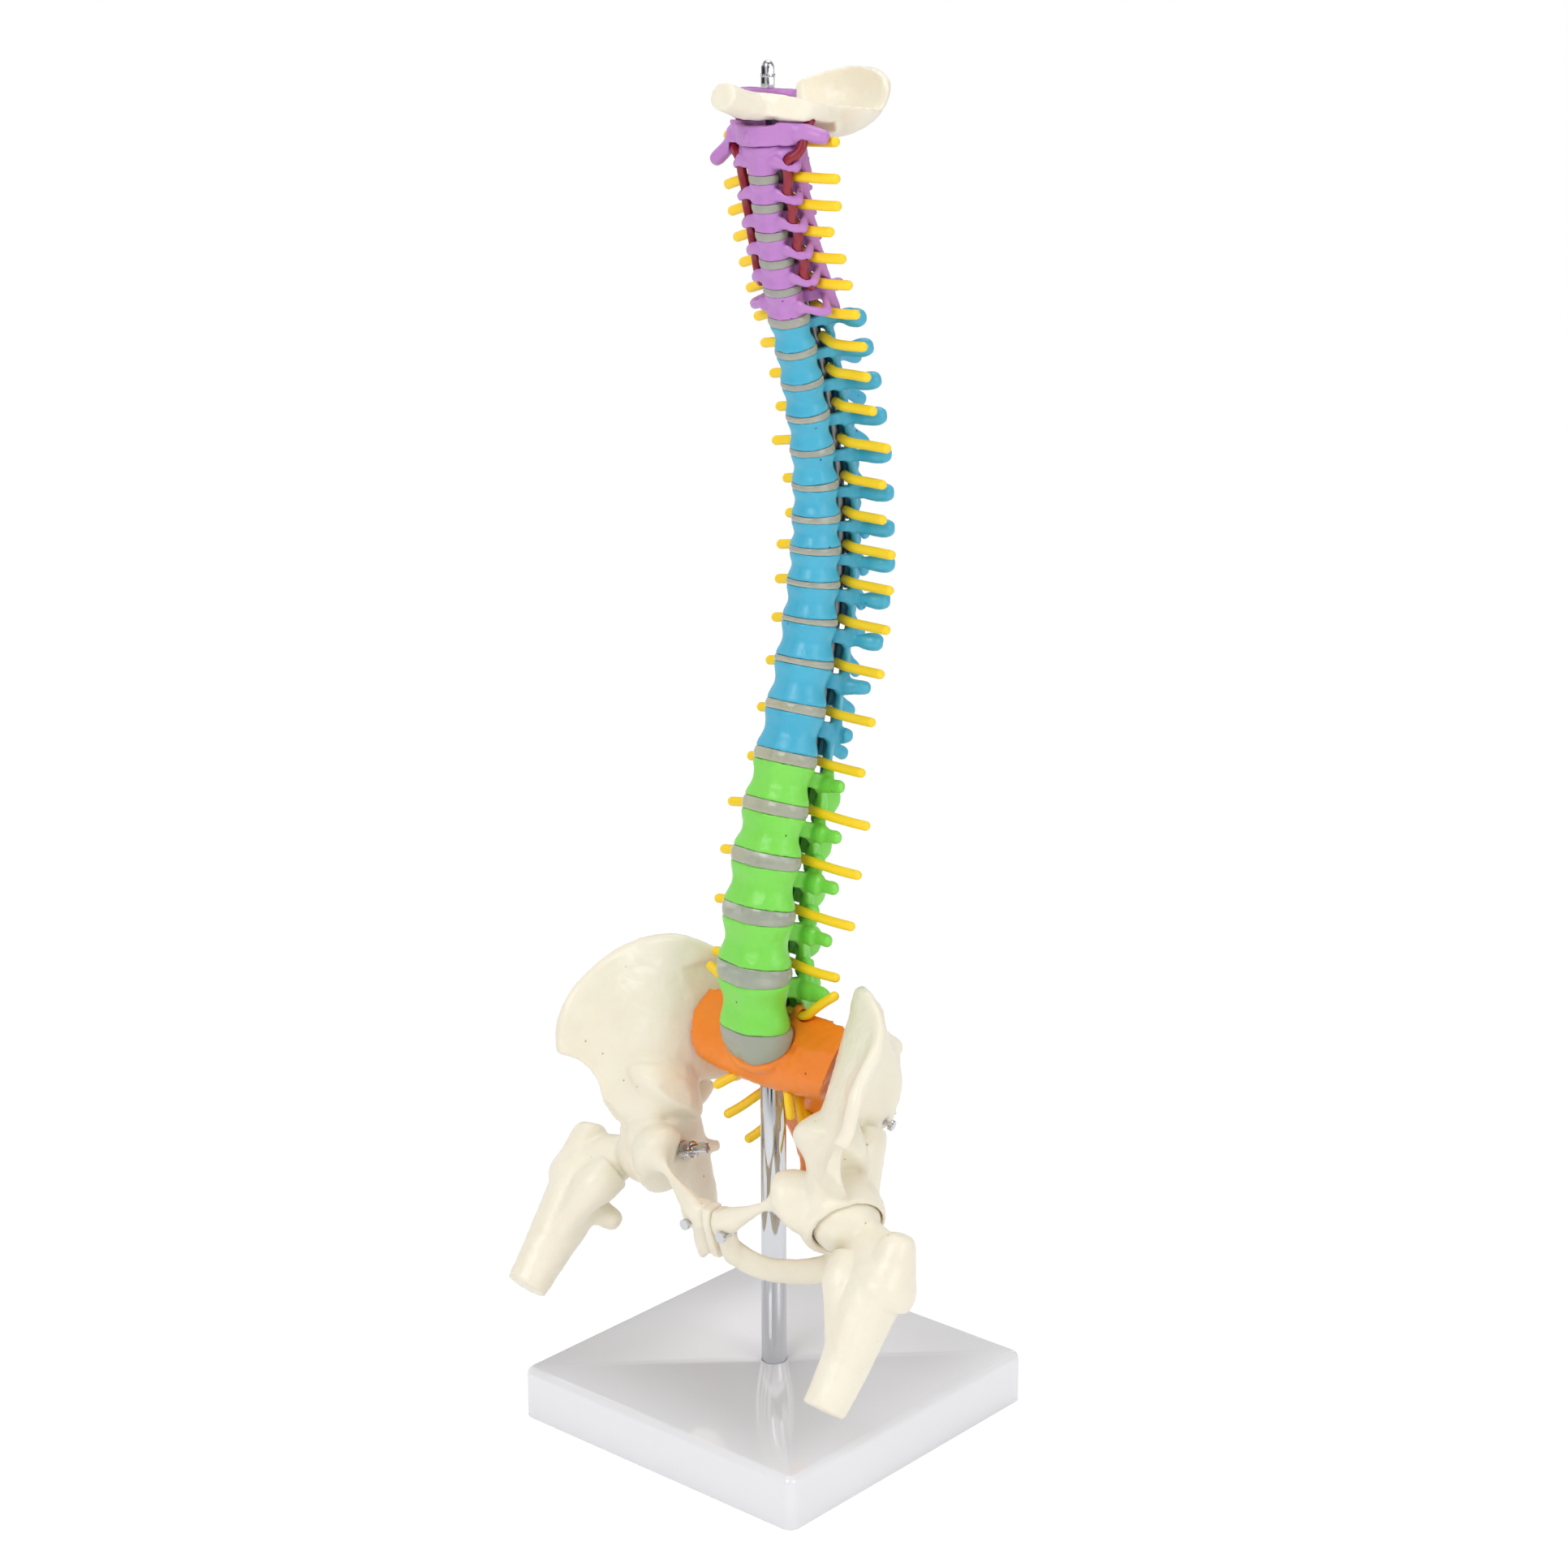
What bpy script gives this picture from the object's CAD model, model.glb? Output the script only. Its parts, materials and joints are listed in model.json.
import json
import math

import bmesh
import bpy
from mathutils import Matrix, Vector


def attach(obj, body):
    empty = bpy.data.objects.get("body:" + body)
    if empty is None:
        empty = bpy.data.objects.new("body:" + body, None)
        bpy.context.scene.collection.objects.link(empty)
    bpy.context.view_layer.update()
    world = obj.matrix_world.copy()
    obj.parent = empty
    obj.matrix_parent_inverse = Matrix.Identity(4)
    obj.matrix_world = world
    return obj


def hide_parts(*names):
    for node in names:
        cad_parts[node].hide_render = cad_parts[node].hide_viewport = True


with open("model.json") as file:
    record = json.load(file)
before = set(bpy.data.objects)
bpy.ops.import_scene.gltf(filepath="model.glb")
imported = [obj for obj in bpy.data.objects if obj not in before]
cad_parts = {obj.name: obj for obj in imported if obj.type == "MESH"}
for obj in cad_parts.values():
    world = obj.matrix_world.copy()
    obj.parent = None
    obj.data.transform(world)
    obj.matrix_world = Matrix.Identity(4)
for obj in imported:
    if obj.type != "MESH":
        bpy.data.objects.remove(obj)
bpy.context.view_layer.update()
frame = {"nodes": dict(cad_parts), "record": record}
nodes = frame["nodes"]
print("frame loaded")

mm = 0.001
weldDistance = 0.00002
bumpDepth = 0.0004
slotOf = {row["node"]: row["material_slot"] for row in frame["record"]["subparts"]}
bodyOf = {node: body for body, members in frame["record"]["behaviour"]["bodies"].items() for node in members}


# Materials: procedural, in each piece's own coordinates
def linear(hexColour):
    out = []
    for i in (1, 3, 5):
        c = int(hexColour[i:i + 2], 16) / 255
        out.append(c / 12.92 if c <= 0.04045 else ((c + 0.055) / 1.055) ** 2.4)
    return (*out, 1.0)


def newMaterial(name):
    material = bpy.data.materials.new(name)
    material.use_nodes = True
    tree = material.node_tree
    return material, tree, tree.nodes["Principled BSDF"]


def addNode(tree, kind, inputs=None, **settings):
    made = tree.nodes.new(kind)
    for key, value in settings.items():
        setattr(made, key, value)
    for key, value in (inputs or {}).items():
        if isinstance(value, bpy.types.NodeSocket):
            tree.links.new(value, made.inputs[key])
        else:
            made.inputs[key].default_value = value
    return made


def setInputs(shader, values):
    for key, value in values.items():
        shader.inputs[key].default_value = value


def boneMaterial(name, look):
    material, tree, shader = newMaterial(name)
    place = addNode(tree, "ShaderNodeTexCoord").outputs["Object"]
    cloud = addNode(tree, "ShaderNodeTexNoise", {"Vector": place, "Scale": look["cloudScale"], "Detail": 3.0})
    tint = addNode(tree, "ShaderNodeMixRGB", {"Fac": cloud.outputs["Fac"], "Color1": linear(look["dark"]),
                                              "Color2": linear(look["light"])})
    cells = addNode(tree, "ShaderNodeTexVoronoi", {"Vector": place, "Scale": look["poreScale"]})
    pore = addNode(tree, "ShaderNodeMapRange", {"Value": cells.outputs["Distance"], "From Min": look["poreSize"],
                                                "From Max": look["poreSize"] * 1.6, "To Min": 0.0, "To Max": 1.0})
    shade = addNode(tree, "ShaderNodeMixRGB", {"Fac": pore.outputs["Result"], "Color1": linear(look["pore"]),
                                               "Color2": tint.outputs["Color"]})
    tree.links.new(shade.outputs["Color"], shader.inputs["Base Color"])
    fine = addNode(tree, "ShaderNodeTexNoise", {"Vector": place, "Scale": look["grainScale"], "Detail": 4.0})
    coarse = addNode(tree, "ShaderNodeTexNoise", {"Vector": place, "Scale": look["waveScale"], "Detail": 2.0})
    heights = addNode(tree, "ShaderNodeMath", {0: fine.outputs["Fac"], 1: look["grainShare"],
                                               2: coarse.outputs["Fac"]}, operation="MULTIPLY_ADD")
    pitted = addNode(tree, "ShaderNodeMath", {0: heights.outputs[0], 1: pore.outputs["Result"]}, operation="ADD")
    bump = addNode(tree, "ShaderNodeBump", {"Height": pitted.outputs[0], "Strength": look["bump"],
                                            "Distance": look["depth"]})
    tree.links.new(bump.outputs["Normal"], shader.inputs["Normal"])
    setInputs(shader, {"Roughness": look["roughness"], "Subsurface Weight": look["subsurface"],
                       "Subsurface Scale": 0.004, "Coat Weight": look["coat"], "Coat Roughness": 0.25})
    return material


def plainMaterial(name, look):
    material, tree, shader = newMaterial(name)
    shader.inputs["Base Color"].default_value = linear(look["colour"])
    setInputs(shader, look["shader"])
    if "bump" in look:
        place = addNode(tree, "ShaderNodeTexCoord").outputs["Object"]
        grain = addNode(tree, "ShaderNodeTexNoise", {"Vector": place, "Scale": look["bumpScale"], "Detail": 3.0})
        bump = addNode(tree, "ShaderNodeBump", {"Height": grain.outputs["Fac"], "Strength": look["bump"],
                                                "Distance": bumpDepth})
        tree.links.new(bump.outputs["Normal"], shader.inputs["Normal"])
    return material


boneLook = {"cloudScale": 28.0, "grainScale": 700.0, "grainShare": 0.25, "waveScale": 120.0, "bump": 0.5,
            "depth": 0.0006, "roughness": 0.36, "subsurface": 0.12, "coat": 0.2, "poreScale": 62.0,
            "poreSize": 0.035}
boneColours = {  # darker patches, lighter patches, inside of a pore
    "cream_bone": ("#EBE3CC", "#F7F1E1", "#C4B490"),
    "purple_bone": ("#B476C2", "#C68ACD", "#6E3A80"),
    "blue_bone": ("#36A5C6", "#4CB9D9", "#155A74"),
    "green_bone": ("#74D644", "#8AE45C", "#2F7F1C"),
    "orange_bone": ("#F07C16", "#F99426", "#A84C08"),
}
plainLooks = {
    "clear_disc": {"colour": "#DADDD0", "bump": 0.3, "bumpScale": 260.0,
                   "shader": {"Roughness": 0.18, "Transmission Weight": 0.55, "IOR": 1.3, "Coat Weight": 0.6}},
    "yellow_nerve": {"colour": "#FFD61E", "bump": 0.2, "bumpScale": 180.0,
                     "shader": {"Roughness": 0.38, "Subsurface Weight": 0.1, "Subsurface Scale": 0.003}},
    "red_artery": {"colour": "#8E0C28", "shader": {"Roughness": 0.24, "Coat Weight": 0.4}},
    "core_steel": {"colour": "#8A8C90", "shader": {"Metallic": 1.0, "Roughness": 0.35}},
    "chrome": {"colour": "#D2D4D8", "shader": {"Metallic": 1.0, "Roughness": 0.08}},
    "white_base": {"colour": "#E9E9EC", "shader": {"Roughness": 0.12, "Coat Weight": 0.8, "Coat Roughness": 0.04}},
}
materials = {}
for slotName, (dark, light, pore) in boneColours.items():
    materials[slotName] = boneMaterial(slotName + "_look", {**boneLook, "dark": dark, "light": light, "pore": pore})
for slotName, look in plainLooks.items():
    materials[slotName] = plainMaterial(slotName + "_look", look)
print("materials made")


# Pieces: each starts as a copy of its CAD node
def copyOfNode(node, pieceName):
    mesh = nodes[node].data.copy()
    shape = bmesh.new()
    shape.from_mesh(mesh)
    bmesh.ops.remove_doubles(shape, verts=shape.verts, dist=weldDistance)
    shape.to_mesh(mesh)
    shape.free()
    mesh.materials.clear()
    piece = bpy.data.objects.new(pieceName, mesh)
    bpy.context.scene.collection.objects.link(piece)
    return piece


def settle(piece):
    graph = bpy.context.evaluated_depsgraph_get()
    mesh = bpy.data.meshes.new_from_object(piece.evaluated_get(graph))
    old = piece.data
    piece.modifiers.clear()
    piece.data = mesh
    bpy.data.meshes.remove(old)


def standIn(piece, node):
    piece.data.materials.clear()
    piece.data.materials.append(materials[slotOf[node]])
    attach(piece, bodyOf[node])
    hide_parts(node)


def addModifier(piece, kind, **settings):
    made = piece.modifiers.new(kind.title(), kind)
    for key, value in settings.items():
        setattr(made, key, value)


def cloudTexture(name, size, depth=2):
    texture = bpy.data.textures.new(name, "CLOUDS")
    texture.noise_scale = size
    texture.noise_depth = depth
    return texture


# Bones: the CAD solid, melted together and worn like moulded plastic
broadWear = cloudTexture("broad_wear", 0.016)
fineWear = cloudTexture("fine_wear", 0.0045)


def bone(node, look):
    piece = copyOfNode(node, "bone_" + node)
    addModifier(piece, "REMESH", mode="VOXEL", voxel_size=look["voxel"] * mm)
    addModifier(piece, "SMOOTH", factor=0.5, iterations=look["melt"])
    addModifier(piece, "DISPLACE", texture=broadWear, strength=look["broad"] * mm, mid_level=look["level"])
    addModifier(piece, "DISPLACE", texture=fineWear, strength=look["fine"] * mm, mid_level=0.5)
    settle(piece)
    for polygon in piece.data.polygons:
        polygon.use_smooth = True
    standIn(piece, node)
    return piece


boneWear = {
    "vertebra_c": {"voxel": 0.8, "melt": 5, "broad": 0.5, "fine": 0.5, "level": 0.5},
    "vertebra_t": {"voxel": 0.9, "melt": 5, "broad": 0.6, "fine": 0.4, "level": 0.5},
    "vertebra_l": {"voxel": 1.0, "melt": 6, "broad": 0.8, "fine": 0.6, "level": 0.5},
    "occipital": {"voxel": 1.2, "melt": 8, "broad": 1.2, "fine": 0.5, "level": 0.5},
    "sacrum": {"voxel": 1.1, "melt": 8, "broad": 1.2, "fine": 0.6, "level": 1.1},
    "hip_bone": {"voxel": 1.3, "melt": 12, "broad": 1.4, "fine": 0.5, "level": 0.5},
    "femur": {"voxel": 1.3, "melt": 14, "broad": 1.0, "fine": 0.4, "level": 0.5},
    "symphysis_disc": {"voxel": 0.8, "melt": 3, "broad": 0.3, "fine": 0.3, "level": 0.5},
    "retaining_bar": {"voxel": 0.6, "melt": 3, "broad": 0.2, "fine": 0.2, "level": 0.5},
}
for node in nodes:
    for start, look in boneWear.items():
        if node.startswith(start):
            bone(node, look)
print("bones made")


# Nuts, screws, tube and base: the CAD solid with its sharp edges broken
def trimmed(node, pieceName, width):
    piece = copyOfNode(node, pieceName)
    addModifier(piece, "BEVEL", width=width * mm, segments=2, limit_method="ANGLE", angle_limit=math.radians(35))
    settle(piece)
    piece.data.shade_smooth()
    piece.data.set_sharp_from_angle(angle=math.radians(32))
    standIn(piece, node)
    return piece


metalEdges = {  # width of the broken edge in millimetres
              "top_lock_nut": 0.3, "top_dome_nut": 0.3, "symphysis_screws": 0.25, "sacroiliac_screws": 0.25,
              "stand_tube": 0.2, "tube_end_cap": 0.2, "stand_stud": 0.15, "base_bolt": 0.3,
              "hip_stud_left": 0.3, "hip_stud_right": 0.3, "hip_washer_left": 0.2, "hip_washer_right": 0.2,
              "wing_nut_left": 0.35, "wing_nut_right": 0.35}
for node, width in metalEdges.items():
    trimmed(node, "metal_" + node, width)
for node in nodes:
    if node.endswith("_discs"):
        trimmed(node, "soft_" + node, 0.5)
    if node.endswith("_nerves") or node.startswith("vertebral_artery"):
        trimmed(node, "soft_" + node, 0.0001)
trimmed("base_block", "stand_base", 0.01)
trimmed("flexible_core", "core_rod", 0.01)
print("fittings made")


# Surroundings: white floor and backdrop, soft boxes, and the camera of the photograph
stageLook = {"floor": "#FFFFFF", "ambient": 0.62, "floorReach": 6.0, "floorDrop": 0.0005, "floorGlow": 1.03,
             "glowShare": 0.93}
floorMesh = bpy.data.meshes.new("floor")
reach = stageLook["floorReach"]
floorMesh.from_pydata([(-reach, -reach, 0), (reach, -reach, 0), (reach, reach, 0), (-reach, reach, 0)], [],
                      [(0, 1, 2, 3)])
floor = bpy.data.objects.new("floor", floorMesh)
bpy.context.scene.collection.objects.link(floor)
floor.location.z = -stageLook["floorDrop"]
floorMaterial, tree, shader = newMaterial("floor_white")
tree.nodes.remove(shader)
output = tree.nodes["Material Output"]
ray = addNode(tree, "ShaderNodeLightPath")
matte = addNode(tree, "ShaderNodeBsdfDiffuse", {"Color": linear(stageLook["floor"])})
glow = addNode(tree, "ShaderNodeEmission", {"Color": linear(stageLook["floor"]), "Strength": stageLook["floorGlow"]})
share = addNode(tree, "ShaderNodeMath", {0: ray.outputs["Is Camera Ray"], 1: stageLook["glowShare"]},
                operation="MULTIPLY")
mixed = addNode(tree, "ShaderNodeMixShader", {0: share.outputs[0], 1: matte.outputs[0], 2: glow.outputs[0]})
tree.links.new(mixed.outputs[0], output.inputs["Surface"])
floorMesh.materials.append(floorMaterial)

world = bpy.data.worlds.new("backdrop")
bpy.context.scene.world = world
world.use_nodes = True
tree = world.node_tree
tree.nodes.clear()
ray = addNode(tree, "ShaderNodeLightPath")
seen = addNode(tree, "ShaderNodeBackground", {"Color": (1, 1, 1, 1), "Strength": 1.0})
way = addNode(tree, "ShaderNodeTexCoord").outputs["Generated"]
stripes = addNode(tree, "ShaderNodeTexWave", {"Vector": way, "Scale": 0.55, "Distortion": 0.6, "Phase Offset": 1.2})
dim = addNode(tree, "ShaderNodeMapRange", {"Value": stripes.outputs["Fac"], "From Min": 0.15, "From Max": 0.75,
                                           "To Min": 0.04, "To Max": stageLook["ambient"] * 1.3})
glossy = addNode(tree, "ShaderNodeMix", {0: ray.outputs["Is Glossy Ray"], 2: stageLook["ambient"],
                                         3: dim.outputs["Result"]})
lit = addNode(tree, "ShaderNodeBackground", {"Color": (1, 1, 1, 1), "Strength": glossy.outputs[0]})
mixed = addNode(tree, "ShaderNodeMixShader", {0: ray.outputs["Is Camera Ray"], 1: lit.outputs[0],
                                              2: seen.outputs[0]})
output = addNode(tree, "ShaderNodeOutputWorld", {"Surface": mixed.outputs[0]})


def softBox(name, place, aim, size, watts):
    light = bpy.data.lights.new(name, "AREA")
    light.shape = "RECTANGLE"
    light.size, light.size_y = size
    light.energy = watts
    lamp = bpy.data.objects.new(name, light)
    bpy.context.scene.collection.objects.link(lamp)
    lamp.location = place
    lamp.rotation_euler = (Vector(aim) - Vector(place)).to_track_quat("-Z", "Y").to_euler()


softBox("key_light", (0.2, -1.9, 2.0), (0, 0, 0.4), (1.2, 1.2), 19)
softBox("side_light", (2.0, -0.1, 1.2), (0, 0, 0.4), (0.9, 1.6), 10)
softBox("top_light", (-0.4, 0.6, 2.4), (0, 0, 0.4), (1.4, 1.4), 12)

cameraLook = {"place": (1.20634, -1.36202, 0.94505), "yaw": -41.300, "pitch": 16.094, "roll": -0.159,
              "lens": 71.11, "sensor": 36.0, "nearest": 0.05}
yaw, pitch, roll = (math.radians(cameraLook[key]) for key in ("yaw", "pitch", "roll"))
ahead = Vector((math.sin(yaw) * math.cos(pitch), math.cos(yaw) * math.cos(pitch), -math.sin(pitch)))
level = Vector((math.cos(yaw), -math.sin(yaw), 0))
upward = level.cross(ahead)
acrossAxis = level * math.cos(roll) + upward * math.sin(roll)
upAxis = upward * math.cos(roll) - level * math.sin(roll)
cameraData = bpy.data.cameras.new("camera")
cameraData.lens = cameraLook["lens"]
cameraData.sensor_width = cameraLook["sensor"]
cameraData.clip_start = cameraLook["nearest"]
camera = bpy.data.objects.new("camera", cameraData)
bpy.context.scene.collection.objects.link(camera)
turn = Matrix((acrossAxis, upAxis, -ahead)).transposed().to_4x4()
camera.matrix_world = Matrix.Translation(cameraLook["place"]) @ turn
bpy.context.scene.camera = camera
bpy.context.scene.view_settings.view_transform = "Standard"
print("stage made")
